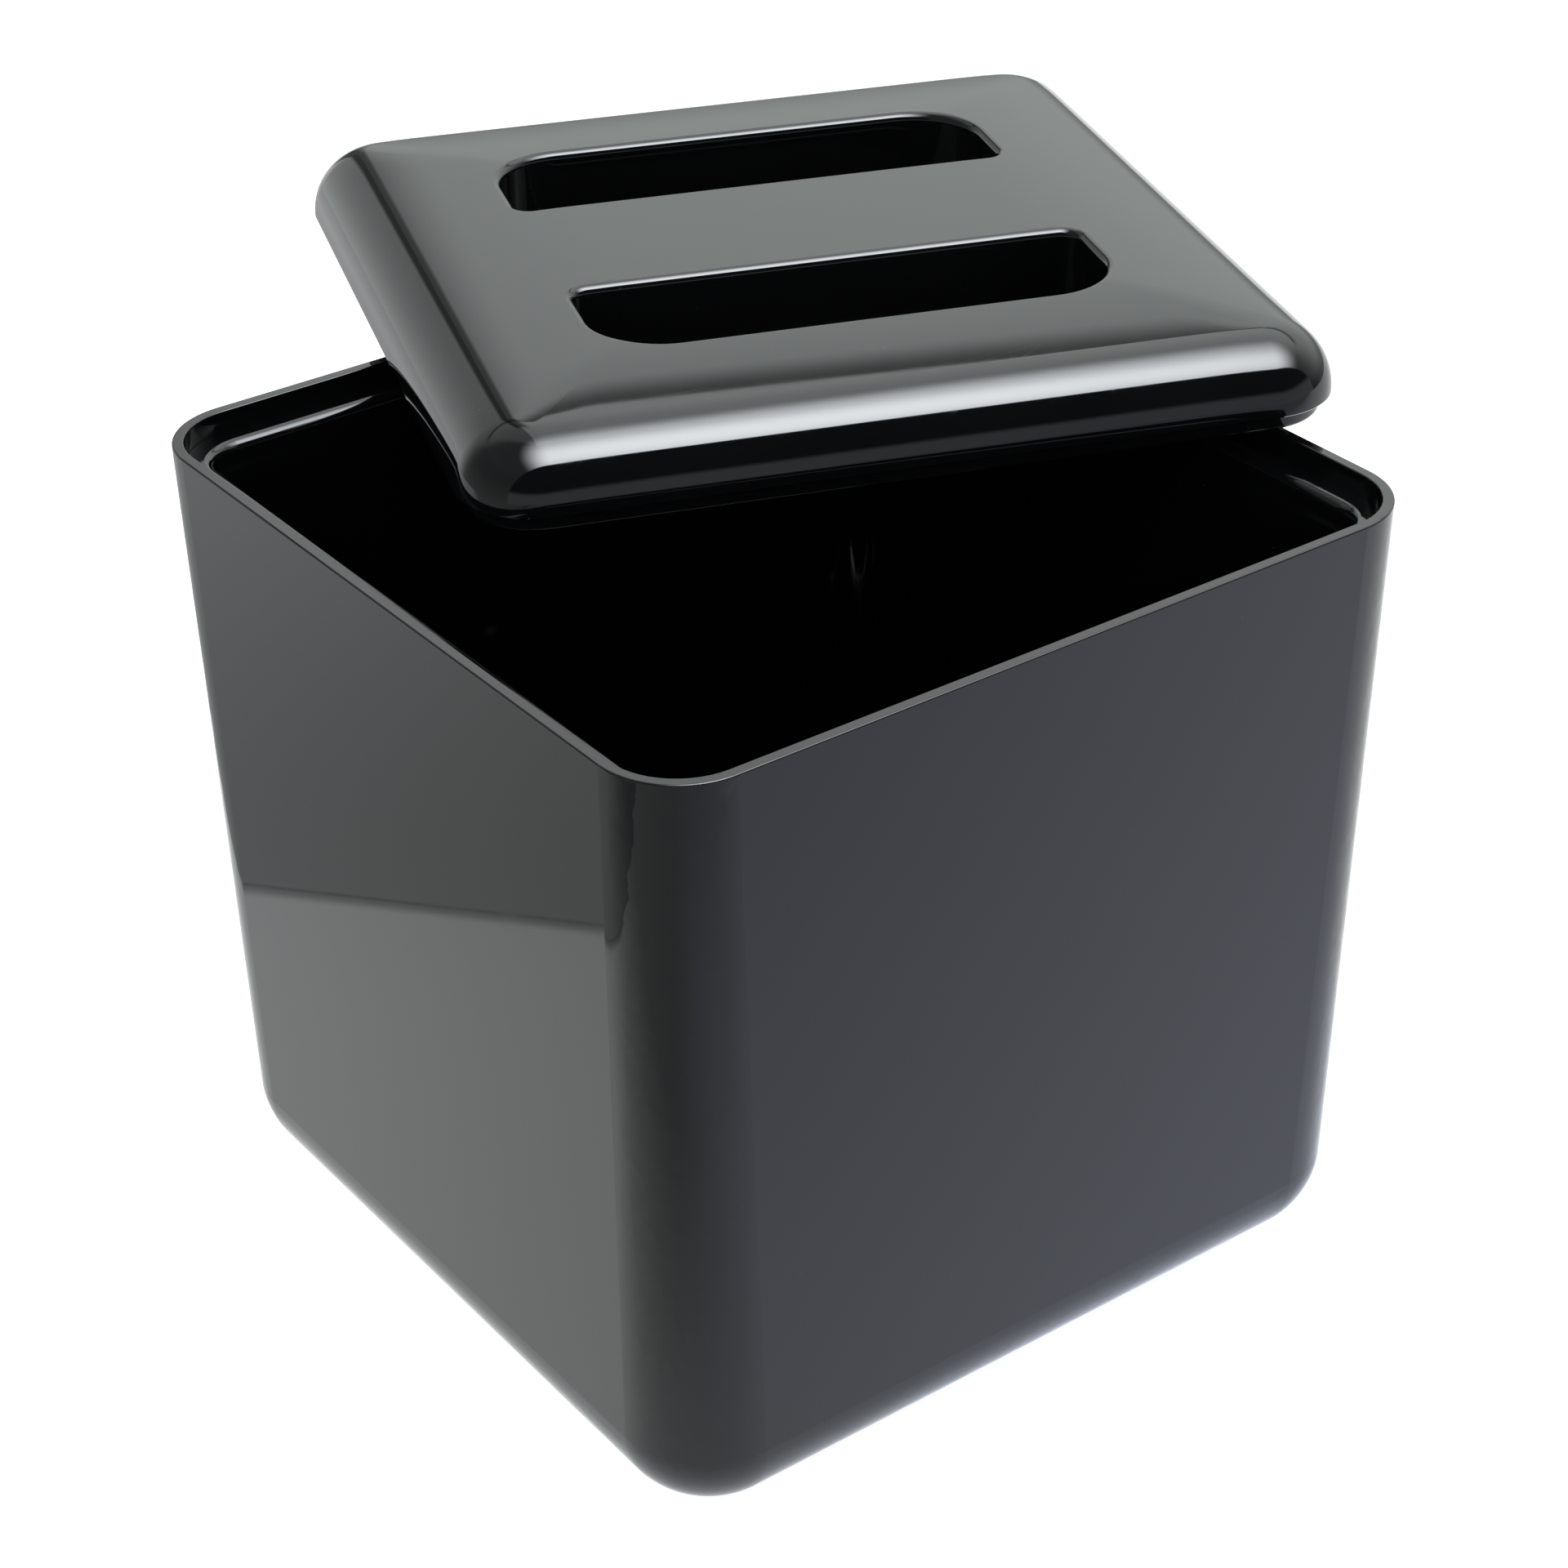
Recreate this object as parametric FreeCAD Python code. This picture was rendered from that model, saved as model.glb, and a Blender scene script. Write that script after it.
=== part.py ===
import FreeCAD, Part
import math
import os

# Square double-walled ice bucket with a loose, two-grip lid.
# Frame: millimetres, Z up, origin at the centre of the base, front face towards -Y.
# The lid is laid askew on the rim; it also drops into the rim when it is squared up.

os.makedirs("parts", exist_ok=True)

# ---------------------------------------------------------------- bucket sizes
bucket_width = 250.0        # outside, at the rim
bucket_height = 241.0       # floor to rim
base_shrink = 3.75          # each side is this much narrower at the floor
corner_radius = 23.5        # upright corners at the rim, outside
base_corner = 27.5          # upright corners at the floor, outside
base_round = 27.0           # roll from the sides into the underside
rim_wall = 3.4              # upstand round the lid seat
shell_wall = 4.6            # wall below the liner ledge
shell_floor = 3.6
rim_edge_round = 0.5

# ---------------------------------------------------------------- liner sizes
flange_drop = 6.2           # rim down to the liner flange
flange_thick = 3.0
flange_width = 8.0          # how far the flange shows inside the rim
liner_wall = 2.8
liner_floor = 3.0
liner_gap_below = 9.0       # air gap between the two floors
liner_shrink = 2.6          # draft of the liner, each side, top to bottom
lip_round = 3.0             # rolled mouth of the liner
collar_depth = 7.5          # mouth down to the small inner step
collar_step = 1.0
liner_base_round = 10.0

# ---------------------------------------------------------------- lid sizes
lid_setback = 0.7           # lid outline inside the bucket outline, each side
lid_height = 23.4           # rim face to crown
shoulder_height = 18.2      # where the upright side would meet the hipped top
shoulder_roll = 20.0        # roll over that edge
hip_width = 40.0            # plan width of the gently sloping border
hip_blend = 70.0            # soft change from the border to the flat crown
crown_corner = 12.0         # plan corners of the flat crown
lid_skin = 3.0
seat_height = 6.5           # how far the pan reaches up into the cap
seat_ledge = 1.6            # step the pan stops against
skirt_depth = 5.1           # part of the pan that hangs below the cap
skirt_edge_round = 1.2
pan_wall = 2.4
pan_floor = 2.4
skirt_width = 5.0           # flat foot of the skirt
pan_recess = 1.9            # underside set up inside the skirt

# ---------------------------------------------------------------- grip wells
bar_half = 31.6             # half the bar left between the two wells
well_width = 42.6
well_length = 150.0
well_depth = 20.5
well_skin = 2.4
well_inner_corner = 5.0
well_outer_corner = 21.0
well_lip = 2.6              # rolled edge into each well
well_floor_round = 2.0

# ---------------------------------------------------------------- fits
lid_clearance = 0.6         # skirt inside the rim, each side
liner_clearance = 0.15      # liner flange inside the rim, each side
pan_clearance = 0.15        # pan inside the cap, each side
rest_gap = 0.4              # skirt above the rim where the lid is laid down

# ---------------------------------------------------------------- how the lid lies
lid_offset_x = 67.0
lid_offset_y = 79.4
lid_turn = -19.94           # degrees about Z; its lean follows from the pan's recess

# ---------------------------------------------------------------- shared by the pieces
overcut = 1.0               # how far a cutter runs past the face it opens
half_top = bucket_width / 2.0
half_base = half_top - base_shrink
rim_half = half_top - rim_wall              # inside the upstand
rim_corner = corner_radius - rim_wall
skirt_half = rim_half - lid_clearance
skirt_corner = rim_corner - lid_clearance
lid_half = half_top - lid_setback
lid_corner = corner_radius - lid_setback


def shell_half(z):
    """Outside half width of the bucket at height z."""
    return half_base + base_shrink * z / bucket_height


def shell_corner(z):
    """Outside corner radius of the bucket at height z."""
    return base_corner + (corner_radius - base_corner) * z / bucket_height


def outline(half_x, half_y, radii, z, centre_x=0.0, centre_y=0.0):
    """Closed wire: rectangle with its own radius at each corner (++, -+, --, +-)."""
    signs = [(1, 1), (-1, 1), (-1, -1), (1, -1)]
    starts = []
    mids = []
    ends = []
    for (sx, sy), radius in zip(signs, radii):
        hub_x = sx * (half_x - radius)
        hub_y = sy * (half_y - radius)
        diagonal = radius * math.sqrt(0.5)
        side = (hub_x + sx * radius, hub_y)
        cap = (hub_x, hub_y + sy * radius)
        mids.append((hub_x + sx * diagonal, hub_y + sy * diagonal))
        if sx * sy > 0:
            starts.append(side)
            ends.append(cap)
        else:
            starts.append(cap)
            ends.append(side)

    def point(xy):
        return FreeCAD.Vector(centre_x + xy[0], centre_y + xy[1], z)

    edges = []
    for i in range(4):
        arc = Part.Arc(point(starts[i]), point(mids[i]), point(ends[i]))
        edges.append(arc.toShape())
        following = (i + 1) % 4
        edges.append(Part.makeLine(point(ends[i]), point(starts[following])))
    return Part.Wire(edges)


def square(half, radius, z):
    return outline(half, half, [radius] * 4, z)


def tapered(half_low, radius_low, z_low, half_high, radius_high, z_high):
    """Straight-sided rounded square between two heights."""
    low = square(half_low, radius_low, z_low)
    high = square(half_high, radius_high, z_high)
    return Part.makeLoft([low, high], True, True)


def edges_at(shape, z, reach=None):
    """Edges lying in the plane z, all of each within a centred square of half size reach."""
    tolerance = 1e-3
    found = []
    for edge in shape.Edges:
        box = edge.BoundBox
        span = max(abs(box.XMin), abs(box.XMax), abs(box.YMin), abs(box.YMax))
        flat = abs(box.ZMin - z) < tolerance and abs(box.ZMax - z) < tolerance
        if flat and (reach is None or span < reach + tolerance):
            found.append(edge)
    return found


def one_solid(shape):
    solids = shape.Solids
    if len(solids) != 1:
        raise ValueError("expected one solid, got %d" % len(solids))
    return solids[0]


def rounded_tub(half_low, radius_low, z_low, half_high, radius_high, z_high, base_roll):
    """Tapered rounded square whose lower edge is rolled."""
    body = tapered(half_low, radius_low, z_low, half_high, radius_high, z_high)
    return body.makeFillet(base_roll, edges_at(body, z_low))


def build_outer_shell():
    """Outside moulding: tapered, rolled underneath, with a ledge for the liner."""
    ledge_z = bucket_height - flange_drop - flange_thick
    body = rounded_tub(half_base, base_corner, 0.0,
                       half_top, corner_radius, bucket_height, base_round)
    hollow = rounded_tub(shell_half(shell_floor) - shell_wall,
                         shell_corner(shell_floor) - shell_wall, shell_floor,
                         shell_half(ledge_z) - shell_wall,
                         shell_corner(ledge_z) - shell_wall, ledge_z + overcut,
                         base_round - shell_wall)
    seat = tapered(rim_half, rim_corner, ledge_z,
                   rim_half, rim_corner, bucket_height + overcut)
    shell = one_solid(body.cut(hollow).cut(seat))
    return one_solid(shell.makeFillet(rim_edge_round, edges_at(shell, bucket_height)))


def build_inner_liner():
    """Inside moulding: flange on the ledge, rolled mouth, small step, tapered pocket."""
    flange_half = rim_half - liner_clearance
    flange_corner = rim_corner - liner_clearance
    flange_top = bucket_height - flange_drop
    flange_low = flange_top - flange_thick
    mouth_half = rim_half - flange_width
    mouth_corner = rim_corner - flange_width
    collar_z = flange_top - collar_depth
    wall_top = flange_low + 0.5 * flange_thick
    outer_low_z = shell_floor + liner_gap_below
    floor_z = outer_low_z + liner_floor
    pocket_top_half = mouth_half - collar_step
    pocket_low_half = pocket_top_half - liner_shrink
    flange = tapered(flange_half, flange_corner, flange_low,
                     flange_half, flange_corner, flange_top)
    outside = rounded_tub(pocket_low_half + liner_wall, mouth_corner + liner_wall,
                          outer_low_z,
                          mouth_half + liner_wall, mouth_corner + liner_wall, wall_top,
                          liner_base_round + liner_wall)
    pocket = rounded_tub(pocket_low_half, mouth_corner, floor_z,
                         pocket_top_half, mouth_corner, flange_top + overcut,
                         liner_base_round)
    collar = tapered(mouth_half, mouth_corner, collar_z,
                     mouth_half, mouth_corner, flange_top + overcut)
    liner = one_solid(flange.fuse(outside).cut(pocket).cut(collar))
    mouth = edges_at(liner, flange_top, mouth_half)
    return one_solid(liner.makeFillet(lip_round, mouth))


def hipped_block(half, corner, z_low, z_shoulder, z_crown, roll, crown_radius):
    """Block with rolled shoulders, a gently sloping border and a flat crown."""
    crown_half = half - hip_width
    sides = tapered(half, corner, z_low, half, corner, z_shoulder)
    top = tapered(half, corner, z_shoulder, crown_half, crown_radius, z_crown)
    block = one_solid(sides.fuse(top))
    block = block.makeFillet(roll, edges_at(block, z_shoulder))
    return one_solid(block.makeFillet(hip_blend, edges_at(block, z_crown)))


def well_outline(side, grow, z):
    """D-shaped well outline, the tight corners facing the bar between the wells."""
    half_x = well_length / 2.0 + grow
    half_y = well_width / 2.0 + grow
    tight = well_inner_corner + grow
    wide = well_outer_corner + grow
    radii = [tight] * 4
    far = [0, 1] if side > 0 else [2, 3]
    for i in far:
        radii[i] = wide
    centre = side * (bar_half + well_width / 2.0)
    return outline(half_x, half_y, radii, z, 0.0, centre)


def well_prism(side, grow, z_low, z_high):
    face = Part.Face(well_outline(side, grow, z_low))
    return face.extrude(FreeCAD.Vector(0, 0, z_high - z_low))


def build_lid_cap():
    """The cap in its own frame: rim face at z = 0, crown at lid_height."""
    cap = hipped_block(lid_half, lid_corner, 0.0, shoulder_height, lid_height,
                       shoulder_roll, crown_corner)
    pocket_half = skirt_half + pan_clearance
    pocket_corner = skirt_corner + pan_clearance
    pocket = tapered(pocket_half, pocket_corner, -overcut,
                     pocket_half, pocket_corner, seat_height)
    attic = hipped_block(pocket_half - seat_ledge, pocket_corner - seat_ledge,
                         -overcut, shoulder_height - lid_skin,
                         lid_height - lid_skin, shoulder_roll - lid_skin - seat_ledge,
                         crown_corner)
    cap = cap.cut(pocket).cut(attic)
    well_bottom = lid_height - well_depth
    for side in (-1, 1):
        cup = well_prism(side, well_skin, well_bottom - well_skin, lid_height - 0.5 * lid_skin)
        cap = cap.fuse(cup)
    for side in (-1, 1):
        hole = well_prism(side, 0.0, well_bottom, lid_height + overcut)
        hole = hole.makeFillet(well_floor_round, edges_at(hole, well_bottom))
        cap = cap.cut(hole)
    cap = one_solid(cap)
    lips = edges_at(cap, lid_height, max(well_length / 2.0, bar_half + well_width))
    return one_solid(cap.makeFillet(well_lip, lips))


def build_lid_pan():
    """The pan: a shallow tray, its lower part the skirt that drops inside the rim."""
    tray = tapered(skirt_half, skirt_corner, -skirt_depth,
                   skirt_half, skirt_corner, seat_height)
    tray = tray.makeFillet(skirt_edge_round, edges_at(tray, -skirt_depth))
    foot_half = skirt_half - skirt_width
    foot_corner = skirt_corner - skirt_width
    recess = tapered(foot_half, foot_corner, -skirt_depth - overcut,
                     foot_half, foot_corner, pan_recess - skirt_depth)
    hollow_half = skirt_half - pan_wall
    hollow_low = pan_recess + pan_floor - skirt_depth
    hollow = tapered(hollow_half, skirt_corner - pan_wall, hollow_low,
                     hollow_half, skirt_corner - pan_wall, seat_height + overcut)
    return one_solid(tray.cut(recess).cut(hollow))


def placed_face(half, corner):
    """A lid outline as a flat face, turned and set where the lid lies."""
    face = Part.Face(square(half, corner, 0.0))
    face.rotate(FreeCAD.Vector(0, 0, 0), FreeCAD.Vector(0, 0, 1), lid_turn)
    face.translate(FreeCAD.Vector(lid_offset_x, lid_offset_y, 0.0))
    return face


def resting_attitude():
    """Heading, slope and lift of a lid whose skirt foot spans the rim at two places
    and whose recessed underside comes down on the rim's far corner."""
    rim = Part.Face(square(half_top, corner_radius, 0.0))
    rim = rim.cut(Part.Face(square(rim_half, rim_corner, 0.0)))
    under = placed_face(skirt_half - skirt_width, skirt_corner - skirt_width)
    foot = placed_face(skirt_half, skirt_corner).cut(under)
    crossings = foot.common(rim).Faces
    bridge = crossings[1].CenterOfMass - crossings[0].CenterOfMass
    heading = FreeCAD.Vector(-bridge.y, bridge.x, 0.0).normalize()
    centre = FreeCAD.Vector(lid_offset_x, lid_offset_y, 0.0)
    if heading.dot(centre) < 0:
        heading = -heading

    def furthest_down(face):
        return max((v.Point - centre).dot(heading) for v in face.common(rim).Vertexes)

    foot_reach = furthest_down(foot)
    under_reach = furthest_down(under)
    slope = pan_recess / (under_reach - foot_reach)
    lift = bucket_height + rest_gap + slope * foot_reach
    return heading, slope, lift


def lay_down(shape, attitude):
    """Put a lid piece where the lid lies, askew and leaning a little on the rim."""
    heading, slope, lift = attitude
    origin = FreeCAD.Vector(0, 0, 0)
    tilt_axis = FreeCAD.Vector(-heading.y, heading.x, 0.0)
    shape.translate(FreeCAD.Vector(0, 0, skirt_depth))
    shape.rotate(origin, FreeCAD.Vector(0, 0, 1), lid_turn)
    shape.rotate(origin, tilt_axis, math.degrees(math.atan(slope)))
    shape.translate(FreeCAD.Vector(lid_offset_x, lid_offset_y, lift))
    return shape


attitude = resting_attitude()
print("lid leans %.2f degrees" % math.degrees(math.atan(attitude[1])))
pieces = {
    "outer_shell": build_outer_shell(),
    "inner_liner": build_inner_liner(),
    "lid_cap": lay_down(build_lid_cap(), attitude),
    "lid_pan": lay_down(build_lid_pan(), attitude),
}

for name, shape in pieces.items():
    if not shape.isValid():
        raise ValueError("%s is not a valid solid" % name)
    shape.exportStep("parts/%s.step" % name)
    box = shape.BoundBox
    print("%-12s %8.0f mm3  x %7.1f %7.1f  y %7.1f %7.1f  z %7.1f %7.1f" % (
        name, shape.Volume, box.XMin, box.XMax, box.YMin, box.YMax, box.ZMin, box.ZMax))
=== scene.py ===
# %% [markdown]
# # A square ice bucket with its lid laid askew
# The object is four mouldings in glossy black plastic: an outer shell, an inner
# liner dropped into it, a lid cap with two grip wells, and the pan under the cap.
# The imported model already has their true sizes, so three of them stay as they are
# and only get a finish. The cap is the piece the eye goes to, and its long rolls
# mirror the studio, so it is made again here as an even mesh that shades cleanly.

# %% Load the frame
import bmesh
import bpy
import math
from mathutils import Matrix, Vector


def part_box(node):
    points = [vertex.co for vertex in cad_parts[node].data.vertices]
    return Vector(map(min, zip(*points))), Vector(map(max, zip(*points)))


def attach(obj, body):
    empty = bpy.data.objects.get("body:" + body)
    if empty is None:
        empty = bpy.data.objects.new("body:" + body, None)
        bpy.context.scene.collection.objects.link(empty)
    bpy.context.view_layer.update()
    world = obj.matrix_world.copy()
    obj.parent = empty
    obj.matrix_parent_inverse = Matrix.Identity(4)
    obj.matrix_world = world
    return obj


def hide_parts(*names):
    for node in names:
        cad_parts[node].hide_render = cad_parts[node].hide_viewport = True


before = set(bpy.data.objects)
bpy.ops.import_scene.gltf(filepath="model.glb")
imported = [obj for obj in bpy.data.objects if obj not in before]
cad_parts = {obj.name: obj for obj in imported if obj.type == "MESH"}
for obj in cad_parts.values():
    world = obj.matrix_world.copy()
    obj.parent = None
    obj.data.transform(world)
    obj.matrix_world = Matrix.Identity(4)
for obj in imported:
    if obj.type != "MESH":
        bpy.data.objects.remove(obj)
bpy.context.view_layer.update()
scene = bpy.context.scene
scene.view_settings.view_transform = "Standard"
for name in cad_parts:
    low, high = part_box(name)
    print(name, [round(1000 * (b - a), 1) for a, b in zip(low, high)], "mm")

# %% [markdown]
# ## The camera
# The bucket is seen from its front left, a little above the lid, through a long
# lens so that its sides stay nearly parallel. The camera is set from a heading, a
# dip and a small roll, which is easier to reason about than three Euler angles:
# the three unit vectors below become the columns of its matrix.

# %% Camera
heading = math.radians(36.03)
dip = math.radians(31.52)
roll = math.radians(-0.857)
ahead = Vector((math.cos(dip) * math.sin(heading),
                math.cos(dip) * math.cos(heading), -math.sin(dip)))
level_right = Vector((math.cos(heading), -math.sin(heading), 0.0))
level_up = level_right.cross(ahead)
camera_right = math.cos(roll) * level_right + math.sin(roll) * level_up
camera_up = math.cos(roll) * level_up - math.sin(roll) * level_right
looked_at = Vector((0.1377, 0.1856, -0.0021))
camera_distance = 1.2961
camera_place = looked_at - camera_distance * ahead

lens = bpy.data.cameras.new("camera")
lens.lens = 82.42
lens.sensor_width = 36.0
camera = bpy.data.objects.new("camera", lens)
scene.collection.objects.link(camera)
camera.matrix_world = (Matrix.Translation(camera_place)
                       @ Matrix((camera_right, camera_up, -ahead)).transposed().to_4x4())
scene.camera = camera
print("camera is", round(camera_place.length, 3), "m from the bucket's foot")

# %% [markdown]
# ## Small helpers
# Every finish and light here is a node tree. `step` adds one node, sets the values
# of its inputs and links any socket handed to it, so that a tree reads as a list
# of steps. `ramp` is the step used most: it turns one range of numbers softly into
# another. `as_object` turns a finished bmesh into an object in the scene.

# %% Helpers
def step(tree, kind, inputs=(), **settings):
    """Add a node, apply settings, then set or link its inputs in order."""
    node = tree.nodes.new(kind)
    for key, value in settings.items():
        setattr(node, key, value)
    for key, value in (inputs.items() if isinstance(inputs, dict) else enumerate(inputs)):
        if isinstance(value, bpy.types.NodeSocket):
            tree.links.new(value, node.inputs[key])
        else:
            node.inputs[key].default_value = value
    return node


def calc(tree, operation, *values):
    """One arithmetic step on values or sockets."""
    return step(tree, "ShaderNodeMath", values, operation=operation).outputs[0]


def ramp(tree, value, start, end, low, high, style="SMOOTHSTEP"):
    """Turn the range start..end into low..high, level outside it."""
    return step(tree, "ShaderNodeMapRange", (value, start, end, low, high),
                interpolation_type=style).outputs[0]


def blend_values(tree, share, first, second):
    """Mix two values."""
    return step(tree, "ShaderNodeMix", {"Factor": share, "A": first, "B": second}).outputs[0]


def blend_colours(tree, share, first, second):
    """Mix two colours, each a value or a socket."""
    node = step(tree, "ShaderNodeMix", {"Factor": share}, data_type="RGBA")
    for number, colour in ((6, first), (7, second)):
        if isinstance(colour, bpy.types.NodeSocket):
            tree.links.new(colour, node.inputs[number])
        else:
            node.inputs[number].default_value = colour
    return node.outputs[2]


def blank_material(name):
    """A material with nothing in its tree but the output."""
    material = bpy.data.materials.new(name)
    material.use_nodes = True
    material.node_tree.nodes.clear()
    output = material.node_tree.nodes.new("ShaderNodeOutputMaterial")
    return material, material.node_tree, output


def as_object(name, shape):
    """Turn a bmesh into an object of that name and free the bmesh."""
    mesh = bpy.data.meshes.new(name)
    shape.to_mesh(mesh)
    shape.free()
    piece = bpy.data.objects.new(name, mesh)
    scene.collection.objects.link(piece)
    return piece


print("helpers ready")

# %% [markdown]
# ## A white room
# Black gloss shows no colour of its own, so it is lit by what it mirrors. The open
# room is simply white: a white world, and a pale floor that also glows a little so
# that the bucket's shadow on it stays faint.

# %% World and floor
world = bpy.data.worlds.new("white_room")
world.use_nodes = True
scene.world = world
world.node_tree.nodes["Background"].inputs["Color"].default_value = (1.0, 1.0, 1.0, 1.0)
world.node_tree.nodes["Background"].inputs["Strength"].default_value = 1.1

floor_shape = bmesh.new()
bmesh.ops.create_grid(floor_shape, x_segments=1, y_segments=1, size=4.0)
floor = as_object("floor", floor_shape)
pale, tree, output = blank_material("pale_floor")
matt = step(tree, "ShaderNodeBsdfDiffuse", {"Color": (0.55, 0.55, 0.56, 1.0)})
glow = step(tree, "ShaderNodeEmission", {"Color": (1.0, 1.0, 1.0, 1.0), "Strength": 0.85})
both = step(tree, "ShaderNodeAddShader", (matt.outputs[0], glow.outputs[0]))
tree.links.new(both.outputs[0], output.inputs["Surface"])
floor.data.materials.append(pale)
floor.visible_glossy = False
print("floor", [round(v, 1) for v in floor.dimensions], "m")

# %% [markdown]
# ## The studio the gloss mirrors
# The panels and lamps of a product studio stand well outside the view. They are
# painted on the inside of one large dome that only reflections can see. The dome
# is described the way a photographer would: a bearing, in degrees to the right of
# straight ahead, and a height in degrees above the horizon.

# %% Dome: bearing and height
def only_mirrored(piece):
    """Let nothing but reflections see this piece."""
    piece.visible_camera = False
    piece.visible_diffuse = False
    piece.visible_shadow = False
    piece.visible_transmission = False


dome_radius = 6.0
dome_shape = bmesh.new()
bmesh.ops.create_icosphere(dome_shape, subdivisions=5, radius=dome_radius)
bmesh.ops.reverse_faces(dome_shape, faces=dome_shape.faces)
dome = as_object("studio_dome", dome_shape)
only_mirrored(dome)
studio, tree, output = blank_material("studio_lamps")
place = step(tree, "ShaderNodeTexCoord").outputs["Object"]
turned = step(tree, "ShaderNodeMapping",
              {"Vector": place, "Rotation": (0.0, 0.0, heading)}).outputs[0]
direction = step(tree, "ShaderNodeVectorMath", (turned,), operation="NORMALIZE").outputs[0]
part = step(tree, "ShaderNodeSeparateXYZ", (direction,))
bearing = calc(tree, "DEGREES", calc(tree, "ARCTAN2", part.outputs["X"], part.outputs["Y"]))
height = calc(tree, "DEGREES", calc(tree, "ARCSINE", part.outputs["Z"]))


def aimed(degrees_right, degrees_up):
    """Unit vector of a bearing and a height."""
    b = math.radians(degrees_right)
    h = math.radians(degrees_up)
    return (math.cos(h) * math.sin(b), math.cos(h) * math.cos(b), math.sin(h))


def angle_from(degrees_right, degrees_up):
    """Degrees between the direction looked in and a fixed one."""
    dot = step(tree, "ShaderNodeVectorMath", (direction, aimed(degrees_right, degrees_up)),
               operation="DOT_PRODUCT").outputs["Value"]
    return calc(tree, "DEGREES", calc(tree, "ARCCOSINE", calc(tree, "MINIMUM", dot, 0.99999)))


print("dome radius", dome_radius, "m")

# %% [markdown]
# ### White panel, side panel and the gap between them
# Straight ahead stands a broad white panel, brighter higher up and to the right
# and dimmer at its foot. A dark gap ends it on the left, and another runs across
# it. Left of the upright gap is a dimmer panel. The gaps matter: they are what
# draws the dark line along the start of each roll of the lid. Each ramp below reads
# as: from one angle to another, from one brightness to another.

# %% Panels
back_level = ramp(tree, height, 15.0, 50.0, 1.24, 2.0, "LINEAR")
back_tilt = ramp(tree, bearing, -10.0, 20.0, 0.97, 1.12, "LINEAR")
back_fade = ramp(tree, bearing, 50.0, 95.0, 1.0, 0.3)
back_foot = ramp(tree, height, 0.0, 17.0, 0.35, 1.0)
back_panel = calc(tree, "MULTIPLY", back_level, back_tilt)
back_panel = calc(tree, "MULTIPLY", back_panel, back_fade)
back_panel = calc(tree, "MULTIPLY", back_panel, back_foot)
side_level = ramp(tree, height, -10.0, 24.0, 1.45, 0.74, "LINEAR")
side_end = ramp(tree, bearing, -75.0, -50.0, 0.35, 1.0)
side_panel = calc(tree, "MULTIPLY", side_level, side_end)
back_share = ramp(tree, bearing, -19.5, -18.5, 0.0, 1.0)
panels = blend_values(tree, back_share, side_panel, back_panel)

left_of_gap = ramp(tree, bearing, -25.0, -22.0, 1.0, 0.2)
right_of_gap = ramp(tree, bearing, -16.5, -10.0, 0.2, 1.0)
above_gap = ramp(tree, height, 45.0, 60.0, 0.0, 1.0)
upright_gap = calc(tree, "MAXIMUM", left_of_gap, right_of_gap)
upright_gap = calc(tree, "MAXIMUM", upright_gap, above_gap)
under_gap = ramp(tree, height, 34.6, 39.4, 1.0, 0.27)
over_gap = ramp(tree, height, 39.4, 40.2, 0.28, 1.14)
beside_gap = ramp(tree, calc(tree, "ABSOLUTE", bearing), 45.0, 60.0, 0.0, 1.0)
level_gap = calc(tree, "MAXIMUM", under_gap, over_gap)
level_gap = calc(tree, "MAXIMUM", level_gap, beside_gap)
panels = calc(tree, "MULTIPLY", panels, upright_gap)
panels = calc(tree, "MULTIPLY", panels, level_gap)
print("panels wired")

# %% [markdown]
# ### Overhead lamp and the dark end of the room
# A big soft lamp hangs above and behind the viewer's right shoulder, brightest in
# its middle and fading outwards. Below it two overlapping rounds of the room are
# unlit, which ends the highlight on the lid's front roll with a crisp edge, and a
# strip of bench shows just above the horizon. The lamp and the bench are bluer than
# the panels.

# %% Overhead lamp
from_lamp = angle_from(129.0, 65.0)
lamp = ramp(tree, from_lamp, 1.0, 39.0, 18.8, 0.0)
from_dark = angle_from(138.0, 0.0)
from_shade = angle_from(160.0, 0.0)
lit_room = calc(tree, "MINIMUM", ramp(tree, from_dark, 48.0, 50.5, 0.0, 1.0),
                ramp(tree, from_shade, 55.6, 57.4, 0.0, 1.0))
unlit_room = calc(tree, "SUBTRACT", 1.0, lit_room)
bench = ramp(tree, height, 11.0, 19.0, 0.62, 0.04)
light = calc(tree, "MULTIPLY", calc(tree, "ADD", panels, lamp), lit_room)
strength = calc(tree, "ADD", light, calc(tree, "MULTIPLY", bench, unlit_room))
near_lamp = ramp(tree, from_lamp, 37.0, 41.0, 1.0, 0.0)
bluish = calc(tree, "MAXIMUM", near_lamp, unlit_room)
panel_white = (0.93, 0.99, 0.975, 1.0)
lamp_white = (0.93, 0.965, 1.0, 1.0)
colour = blend_colours(tree, bluish, panel_white, lamp_white)
shine = step(tree, "ShaderNodeEmission", {"Color": colour, "Strength": strength})
tree.links.new(shine.outputs[0], output.inputs["Surface"])
dome.data.materials.append(studio)
print("lamp and dark end wired")

# %% [markdown]
# ### The table top in the gloss
# The upright sides mirror the table the bucket stands on, so it needs its own
# picture: bright to the sides, darker towards the viewer, bluish on the right, and
# on the left a straight edge with a dark line along it. Like the dome, this sheet
# is seen only in reflections. It lies just under the real floor.

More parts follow.
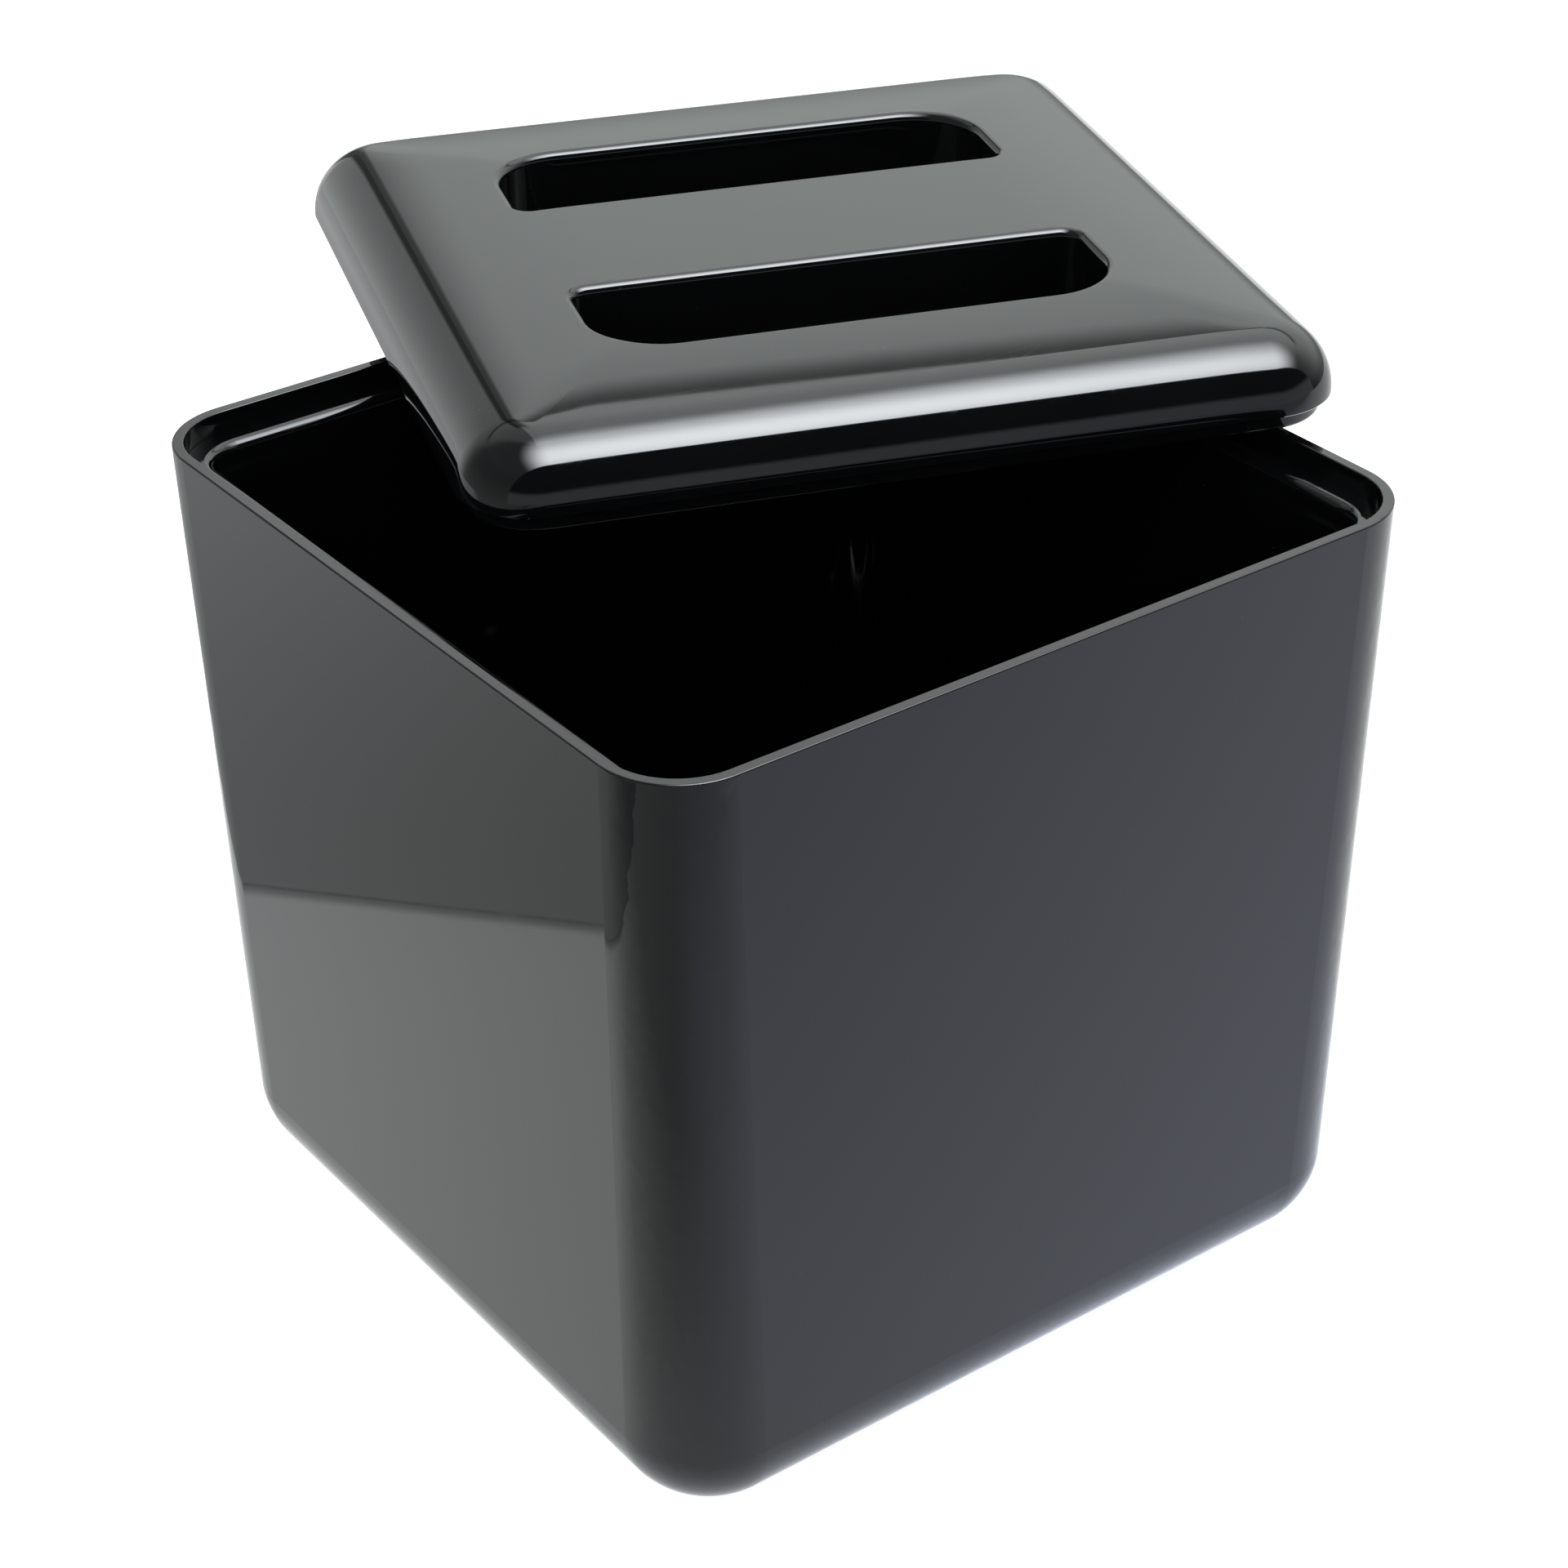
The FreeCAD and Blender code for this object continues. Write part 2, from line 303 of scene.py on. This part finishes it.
# %% Mirrored table
table_shape = bmesh.new()
bmesh.ops.create_grid(table_shape, x_segments=1, y_segments=1, size=3.0)
bmesh.ops.translate(table_shape, verts=table_shape.verts, vec=(0.0, 0.0, -0.0005))
table = as_object("mirrored_table", table_shape)
only_mirrored(table)
top, tree, output = blank_material("mirrored_table_top")
place = step(tree, "ShaderNodeTexCoord").outputs["Object"]


def along(x, y):
    """Distance along a level direction, in metres."""
    return step(tree, "ShaderNodeVectorMath", (place, (x, y, 0.0)),
                operation="DOT_PRODUCT").outputs["Value"]


edge_faces = (-0.774, 0.634)
edge_distance = 0.2996
past_edge = calc(tree, "SUBTRACT", along(*edge_faces), edge_distance)
near_side = ramp(tree, past_edge, -0.26, -0.02, 1.02, 1.16)
far_side = ramp(tree, past_edge, 0.0, 0.5, 0.56, 1.1)
is_far = ramp(tree, past_edge, -0.001, 0.001, 0.0, 1.0)
near_line = ramp(tree, past_edge, -0.007, -0.001, 1.0, 0.5)
far_line = ramp(tree, past_edge, 0.0, 0.002, 0.5, 1.0)
left_part = blend_values(tree, is_far, near_side, far_side)
left_part = calc(tree, "MULTIPLY", left_part, calc(tree, "MAXIMUM", near_line, far_line))
to_viewer = along(-math.sin(heading), -math.cos(heading))
to_right = along(math.cos(heading), -math.sin(heading))
left_fade = ramp(tree, to_viewer, 0.12, 0.32, 1.0, 0.42, "LINEAR")
left_part = calc(tree, "MULTIPLY", left_part, left_fade)
right_part = ramp(tree, to_viewer, 0.05, 0.50, 1.27, 0.55, "LINEAR")
is_right = ramp(tree, to_right, -0.12, 0.10, 0.0, 1.0)
level = blend_values(tree, is_right, left_part, right_part)
left_tint = (0.965, 1.0, 0.985, 1.0)
right_tint = (0.86, 0.92, 1.06, 1.0)
behind_tint = (0.97, 0.99, 1.0, 1.0)
tint = blend_colours(tree, is_right, left_tint, right_tint)
behind = ramp(tree, to_viewer, -0.12, 0.06, 1.0, 0.0)
tint = blend_colours(tree, behind, tint, behind_tint)
shine = step(tree, "ShaderNodeEmission", {"Color": tint, "Strength": level})
tree.links.new(shine.outputs[0], output.inputs["Surface"])
table.data.materials.append(top)
print("mirrored table wired")

# %% [markdown]
# ## Marks that every moulding shares
# Polished moulded plastic is never a perfect mirror. It carries three things: long
# shallow ripples from cooling in the mould, hairline scratches from wiping, and a
# few specks of settled dust. All four mouldings have them in different amounts, so
# each effect is a node group with its own inputs, built once and placed in every
# finish. A group puts out only a height or a mask; the shader stays outside.

# %% Group: moulding ripple
def new_group(name, outputs, **inputs):
    """A shader group with a Place vector, named value inputs and named value outputs."""
    group = bpy.data.node_groups.new(name, "ShaderNodeTree")
    group.interface.new_socket("Place", in_out="INPUT", socket_type="NodeSocketVector")
    for key, value in inputs.items():
        socket = group.interface.new_socket(key, in_out="INPUT", socket_type="NodeSocketFloat")
        socket.default_value = value
    for key in outputs:
        group.interface.new_socket(key, in_out="OUTPUT", socket_type="NodeSocketFloat")
    start = group.nodes.new("NodeGroupInput").outputs
    end = group.nodes.new("NodeGroupOutput").inputs
    return group, start, end


def noise(tree, place, scale, detail, roughness):
    """Smooth noise over a place, as a value."""
    return step(tree, "ShaderNodeTexNoise", {"Vector": place, "Scale": scale, "Detail": detail,
                                             "Roughness": roughness}).outputs[0]


ripple, start, end = new_group("moulding_ripple", ["Height"],
                               Wave=14.0, Depth=0.00002, Peel=0.0000004)
waves = noise(ripple, start["Place"], start["Wave"], 1.0, 0.4)
peel = noise(ripple, start["Place"], 420.0, 2.0, 0.5)
deep = calc(ripple, "MULTIPLY", waves, start["Depth"])
fine = calc(ripple, "MULTIPLY", peel, start["Peel"])
ripple.links.new(calc(ripple, "ADD", deep, fine), end["Height"])
print(ripple.name, [s.name for s in ripple.interface.items_tree])

# %% [markdown]
# ### Hairline scratches
# A contour line of a smooth noise is a long thin curve. Stretching the noise first
# makes the curves run one way, as wiping does, and a second broad noise breaks them
# up so that most of the surface stays clean.

# %% Group: hairline scratches
def near_to(tree, distance, reach):
    """One where the distance is nothing, falling to nothing at the reach."""
    share = calc(tree, "MINIMUM", calc(tree, "DIVIDE", distance, reach), 1.0)
    return calc(tree, "SUBTRACT", 1.0, share)


scratches, start, end = new_group("hairline_scratches", ["Mask"],
                                  Run=9.0, Width=0.006, Cover=0.5)
masks = []
for turn, stretch in ((0.3, 7.0), (1.9, 9.0)):
    run = step(scratches, "ShaderNodeMapping",
               {"Vector": start["Place"], "Rotation": (0.0, 0.0, turn),
                "Scale": (1.0, stretch, 1.0)}).outputs[0]
    contour = calc(scratches, "SUBTRACT", noise(scratches, run, start["Run"], 1.5, 0.5), 0.5)
    off_line = calc(scratches, "ABSOLUTE", contour)
    masks.append(near_to(scratches, off_line, start["Width"]))
either = calc(scratches, "MAXIMUM", masks[0], masks[1])
patches = noise(scratches, start["Place"], 23.0, 2.0, 0.6)
shown = ramp(scratches, patches, 0.45, 0.65, 0.0, start["Cover"])
scratches.links.new(calc(scratches, "MULTIPLY", either, shown), end["Mask"])
print(scratches.name, len(scratches.nodes), "nodes")

# %% [markdown]
# ### Settled dust
# Specks come from a Voronoi pattern: a small soft disc round each cell's centre,
# kept only in the few cells whose random colour is high.

# %% Group: settled dust
dust, start, end = new_group("settled_dust", ["Mask"], Spacing=240.0, Speck=0.05, Share=0.12)
cells = step(dust, "ShaderNodeTexVoronoi", {"Vector": start["Place"], "Scale": start["Spacing"]})
pick = step(dust, "ShaderNodeSeparateColor", (cells.outputs["Color"],)).outputs[0]
kept = calc(dust, "GREATER_THAN", pick, calc(dust, "SUBTRACT", 1.0, start["Share"]))
inside = near_to(dust, cells.outputs["Distance"], start["Speck"])
dust.links.new(calc(dust, "MULTIPLY", kept, inside), end["Mask"])
print(dust.name, len(dust.nodes), "nodes")

# %% [markdown]
# ## Gloss black plastic
# All four mouldings are the same near-black polystyrene. The base colour is barely
# above black and drifts a little, because almost everything seen is the gloss on
# top. The roughness is low and uneven: a faint haze, brighter along scratches, and
# dull under dust. The index of refraction is the plastic's own, set on the shader.

# %% Finish builder
def place_group(tree, group, place, **values):
    """Put a shared group in a tree and set its inputs."""
    node = tree.nodes.new("ShaderNodeGroup")
    node.node_tree = group
    tree.links.new(place, node.inputs["Place"])
    for key, value in values.items():
        node.inputs[key].default_value = value
    return node.outputs[0]


near_black = (0.0016, 0.0018, 0.0022, 1.0)
paler_black = (0.0032, 0.0035, 0.0040, 1.0)
dust_grey = (0.20, 0.20, 0.19, 1.0)


def gloss_black(name, haze, wave, depth, wiped, dusty):
    """Black gloss plastic: haze is the least roughness, wiped and dusty are 0 to 1."""
    material, tree, output = blank_material(name)
    place = step(tree, "ShaderNodeTexCoord").outputs["Object"]
    height = place_group(tree, ripple, place, Wave=wave, Depth=depth)
    scratch = place_group(tree, scratches, place, Cover=wiped)
    speck = place_group(tree, dust, place, Share=dusty)
    half_speck = calc(tree, "MULTIPLY", speck, 0.5)
    pigment = blend_colours(tree, noise(tree, place, 30.0, 4.0, 0.5), near_black, paler_black)
    colour = blend_colours(tree, half_speck, pigment, dust_grey)
    rough = ramp(tree, noise(tree, place, 60.0, 5.0, 0.65), 0.3, 0.7, haze, haze + 0.035)
    rough = calc(tree, "ADD", rough, calc(tree, "MULTIPLY", scratch, 0.12))
    rough = calc(tree, "ADD", rough, half_speck)
    cut = calc(tree, "SUBTRACT", height, calc(tree, "MULTIPLY", scratch, 0.0000006))
    cut = calc(tree, "ADD", cut, calc(tree, "MULTIPLY", speck, 0.00004))
    bump = step(tree, "ShaderNodeBump",
                {"Strength": 1.0, "Distance": 1.0, "Height": cut}).outputs[0]
    plastic = step(tree, "ShaderNodeBsdfPrincipled",
                   {"Base Color": colour, "Roughness": rough, "IOR": 1.49, "Normal": bump})
    tree.links.new(plastic.outputs[0], output.inputs["Surface"])
    return material


finishes = {
    "outer_shell": gloss_black("shell_plastic", 0.015, 11.0, 0.000030, 0.35, 0.05),
    "inner_liner": gloss_black("liner_plastic", 0.040, 16.0, 0.000060, 0.25, 0.03),
    "lid_cap": gloss_black("lid_plastic", 0.020, 17.0, 0.000016, 0.45, 0.08),
    "lid_pan": gloss_black("pan_plastic", 0.030, 18.0, 0.000040, 0.25, 0.03),
}
for name, material in finishes.items():
    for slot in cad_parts[name].material_slots:
        slot.material = material
print("finishes", sorted(m.name for m in finishes.values()))

# %% [markdown]
# ## The lid cap
# The cap is one moulding: short upright sides, a generous roll, and a crown that is
# only slightly domed, with two D-shaped grip wells sunk either side of a bar. A
# subdivision cage would need support loops round every well. Here an outline is
# swept through rings instead, because the rings run evenly along each side and the
# long highlight on the roll then stays clean. The wells are cut in afterwards.

# %% Cap sizes
cap_half = 0.1243           # centre to side
cap_corner = 0.0228
roll_radius = 0.020
roll_end = math.radians(82.0)
crown_top = 0.0234
crown_slope = math.tan(math.radians(90.0) - roll_end)
crown_run = 0.045           # the dome dies out this far past the roll
roll_inset = roll_radius * (1.0 - math.cos(roll_end))
crown_rise = 0.5 * crown_slope * crown_run
roll_foot = crown_top - crown_rise - roll_radius * math.sin(roll_end)


def crown_height(x, y):
    """Height of the domed crown, the drops of both directions softly joined."""
    drops = []
    for across in (abs(x), abs(y)):
        left = 1.0 - (cap_half - roll_inset - across) / crown_run
        drops.append(crown_rise * max(0.0, left) ** 2)
    return crown_top - (drops[0] ** 4 + drops[1] ** 4) ** 0.25


print("crown rises", round(1000 * crown_rise, 2), "mm")
print("roll starts", round(1000 * roll_foot, 2), "mm up")

# %% [markdown]
# ### An outline that can grow and shrink
# A rounded rectangle starts as one square face whose corners are bevelled and whose
# long edges are then divided. To offset it, each point is measured from its hub:
# the centre of its corner's arc, or the point level with it on the inner rectangle.
# Moving points along that line keeps arcs true and sides straight.

# %% Outline and offset
def rounded_face(shape, half_x, half_y, near_radius, far_radius, pieces, z):
    """A rounded rectangle face, its corners at -y and at +y with their own radii."""
    made = bmesh.ops.create_grid(shape, x_segments=1, y_segments=1, size=1.0)["verts"]
    bmesh.ops.scale(shape, vec=(half_x, half_y, 1.0), verts=made)
    bmesh.ops.translate(shape, vec=(0.0, 0.0, z), verts=made)
    for sign, radius in ((-1, near_radius), (1, far_radius)):
        corners = [v for v in shape.verts
                   if abs(v.co.x) > half_x - 1e-6 and v.co.y * sign > half_y - 1e-6]
        bmesh.ops.bevel(shape, geom=corners, offset=radius, offset_type="OFFSET",
                        segments=16, profile=0.5, affect="VERTICES", material=-1)
    long_edges = [e for e in shape.edges if e.calc_length() > 0.3 * min(half_x, half_y)]
    bmesh.ops.subdivide_edges(shape, edges=long_edges, cuts=pieces)
    return max(shape.faces, key=lambda f: f.calc_area())


def offset_point(co, half_x, half_y, near_radius, far_radius, inset):
    """The same point on the outline moved inwards by inset."""
    radius = far_radius if co.y > 0 else near_radius
    hub_x = max(radius - half_x, min(half_x - radius, co.x))
    hub_y = max(near_radius - half_y, min(half_y - far_radius, co.y))
    away = Vector((co.x - hub_x, co.y - hub_y))
    away *= (away.length - inset) / away.length
    return hub_x + away.x, hub_y + away.y


trial = bmesh.new()
face = rounded_face(trial, cap_half, cap_half, cap_corner, cap_corner, 40, 0.0)
print("outline has", len(face.verts), "points, area", round(1e4 * face.calc_area(), 2), "cm2")
trial.free()

# %% [markdown]
# ### Sweeping the rings
# The outline's edges are extruded one ring at a time: out of the rim face, up the
# roll, and over the crown in rings that shrink towards the middle. The last ring is
# closed with one flat face, because the middle of the crown is level.

# %% Rings of the cap
def extrude_ring(shape, edges, move):
    """Extrude a closed ring of edges and put each new point where move says."""
    made = bmesh.ops.extrude_edge_only(shape, edges=edges)["geom"]
    for vert in [g for g in made if isinstance(g, bmesh.types.BMVert)]:
        vert.co = move(vert.co)
    return [g for g in made if isinstance(g, bmesh.types.BMEdge)]


cap_shape = bmesh.new()
rim_face = rounded_face(cap_shape, cap_half, cap_half, cap_corner, cap_corner, 40, 0.0)
ring = list(rim_face.edges)
corner_set = (cap_half, cap_half, cap_corner, cap_corner)
rim_round = 0.0004
for vert in rim_face.verts:
    vert.co.x, vert.co.y = offset_point(vert.co, *corner_set, rim_round)


def ring_at(inset_now, inset_before, height_of):
    """A move that goes from one inset to the next and sets the height there."""
    def move(co):
        grown = (cap_half - inset_before, cap_half - inset_before,
                 cap_corner - inset_before, cap_corner - inset_before)
        x, y = offset_point(co, *grown, inset_now - inset_before)
        return Vector((x, y, height_of(x, y, co)))
    return move


ring = extrude_ring(cap_shape, ring, ring_at(0.0, rim_round, lambda x, y, co: rim_round))
before = 0.0
roll_rings = 30
for number in range(1, roll_rings + 1):
    turned_by = roll_end * number / roll_rings
    inset = roll_radius * (1.0 - math.cos(turned_by))
    share = math.sin(turned_by) / math.sin(roll_end)

    def roll_height(x, y, co, share=share, inset=inset):
        grown = (cap_half - inset, cap_half - inset, cap_corner - inset, cap_corner - inset)
        end_x, end_y = offset_point(Vector((x, y, 0.0)), *grown, roll_inset - inset)
        return roll_foot + share * (crown_height(end_x, end_y) - roll_foot)

    ring = extrude_ring(cap_shape, ring, ring_at(inset, before, roll_height))
    before = inset
crown_rings = 16
crown_left = 0.53           # share of the way out where the level middle begins
shrink_before = 1.0
for number in range(1, crown_rings + 1):
    shrink = 1.0 - (1.0 - crown_left) * number / crown_rings

    def inward(co, ratio=shrink / shrink_before):
        return Vector((co.x * ratio, co.y * ratio, crown_height(co.x * ratio, co.y * ratio)))

    ring = extrude_ring(cap_shape, ring, inward)
    shrink_before = shrink
bmesh.ops.contextual_create(cap_shape, geom=ring)
bmesh.ops.recalc_face_normals(cap_shape, faces=cap_shape.faces)
print("cap block", len(cap_shape.faces), "faces")

# %% [markdown]
# ### Wells, pan seat and cups
# A grip well has tight corners against the bar and wide ones outside, a rolled lip
# and a small round at its floor. Its cutter is the same kind of ring sweep, and its
# lip rings follow the crown so that the lip meets the dome without a step. From
# below, a shallow seat takes the pan, and a cup of material stays round each well.

# %% Cutters
well = (0.075, 0.0213, 0.005, 0.021)
well_middle = 0.0529
well_floor = crown_top - 0.0205
lip = 0.0026
floor_round = 0.0005


def swept_well(side, rings):
    """Closed cutter from rings of (growth, height, True where it follows the crown)."""
    shape = bmesh.new()
    foot = rounded_face(shape, *well, 14, 0.0)
    ring = list(foot.edges)
    last = 0.0
    for number, (grow, z, follows) in enumerate(rings):
        def move(co, grow=grow, z=z, follows=follows, last=last):
            now = (well[0] + last, well[1] + last, well[2] + last, well[3] + last)
            x, y = offset_point(co, *now, last - grow)
            level = crown_height(x, y + well_middle) if follows else 0.0
            return Vector((x, y, level + z))
        if number == 0:
            for vert in foot.verts:
                vert.co = move(vert.co)
        else:
            ring = extrude_ring(shape, ring, move)
        last = grow
    bmesh.ops.contextual_create(shape, geom=ring)
    bmesh.ops.translate(shape, vec=(0.0, well_middle, 0.0), verts=shape.verts)
    if side < 0:
        bmesh.ops.rotate(shape, cent=(0, 0, 0), matrix=Matrix.Rotation(math.pi, 3, "Z"),
                         verts=shape.verts)
    bmesh.ops.recalc_face_normals(shape, faces=shape.faces)
    return shape


well_rings = []
for number in range(0, 7):
    a = math.radians(15.0 * number)
    well_rings.append((-floor_round * (1.0 - math.sin(a)),
                       well_floor + floor_round * (1.0 - math.cos(a)), False))
for number in range(0, 13):
    a = math.radians(7.0 * number)
    well_rings.append((lip * (1.0 - math.cos(a)), lip * (math.sin(a) - 1.0), True))
well_rings.append((lip + 0.0002, 0.0001, True))      # just clear of the crown
well_rings.append((lip + 0.0003, 0.004, True))       # and well above it
cup_wall = 0.0024
cup_rings = [(cup_wall, well_floor - cup_wall, False), (cup_wall, 0.010, False)]
cut_wells = [swept_well(side, well_rings) for side in (-1, 1)]
cups = [swept_well(side, cup_rings) for side in (-1, 1)]
seat = bmesh.new()
seat_face = rounded_face(seat, 0.12115, 0.12115, 0.01965, 0.01965, 20, -0.001)
raised = bmesh.ops.extrude_face_region(seat, geom=[seat_face])["geom"]
seat_top = [g for g in raised if isinstance(g, bmesh.types.BMVert)]
bmesh.ops.translate(seat, vec=(0.0, 0.0, 0.0075), verts=seat_top)
bmesh.ops.recalc_face_normals(seat, faces=seat.faces)
print("cutters", [len(s.faces) for s in cut_wells + cups + [seat]], "faces")

# %% [markdown]
# ### Cutting, placing and shading
# The exact Boolean solver keeps the cuts watertight. The cap is then turned and
# leaned the way it lies on the rim, edges sharper than a lip are marked sharp, and a
# weighted-normal modifier lets the broad crown decide how light falls beside a well.

# %% Cut and place the cap
def cut(target, cutters):
    """Subtract cutters from target with exact Booleans and keep the result."""
    for cutter in cutters:
        modifier = target.modifiers.new("cut", "BOOLEAN")
        modifier.operation = "DIFFERENCE"
        modifier.solver = "EXACT"
        modifier.object = cutter
    bpy.context.view_layer.update()
    whole = target.evaluated_get(bpy.context.evaluated_depsgraph_get())
    result = bpy.data.meshes.new_from_object(whole)
    target.modifiers.clear()
    target.data = result
    for cutter in cutters:
        bpy.data.objects.remove(cutter)


cap = as_object("lid_cap_moulding", cap_shape)
seat_cutter = as_object("pan_seat", seat)
cut(seat_cutter, [as_object("cup", shape) for shape in cups])
cut(cap, [seat_cutter] + [as_object("well", shape) for shape in cut_wells])

lid_turn = Matrix.Rotation(math.radians(-19.94), 4, "Z")
lean_axis = Vector((-0.658335, 0.752725, 0.0))
lid_lean = Matrix.Rotation(math.atan(0.0174923), 4, lean_axis)
lid_foot = Matrix.Translation((0.067, 0.0794, 0.240518))
cap_over_foot = Matrix.Translation((0.0, 0.0, 0.0051))
lid_place = lid_foot @ lid_lean @ lid_turn @ cap_over_foot
sharp_from = math.radians(32.0)
finished = bmesh.new()
finished.from_mesh(cap.data)
bmesh.ops.remove_doubles(finished, verts=finished.verts, dist=0.000002)
bmesh.ops.transform(finished, matrix=lid_place, verts=finished.verts)
for face in finished.faces:
    face.smooth = True
for edge in finished.edges:
    edge.smooth = len(edge.link_faces) == 2 and edge.calc_face_angle(0.0) < sharp_from
open_edges = [e for e in finished.edges if len(e.link_faces) != 2]
finished.to_mesh(cap.data)
finished.free()
weighted = cap.modifiers.new("weighted_normals", "WEIGHTED_NORMAL")
weighted.mode = "FACE_AREA"
weighted.keep_sharp = True
cap.data.materials.clear()
cap.data.materials.append(finishes["lid_cap"])
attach(cap, "lid")
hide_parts("lid_cap")
cad_low, cad_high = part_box("lid_cap")
low = [min(v.co[i] for v in cap.data.vertices) for i in range(3)]
high = [max(v.co[i] for v in cap.data.vertices) for i in range(3)]
print("cap", len(cap.data.polygons), "faces,", len(open_edges), "open edges")
apart = [round(1000 * (a - b), 2) for a, b in zip(low + high, list(cad_low) + list(cad_high))]
print("cap box against the packed one, mm", apart)
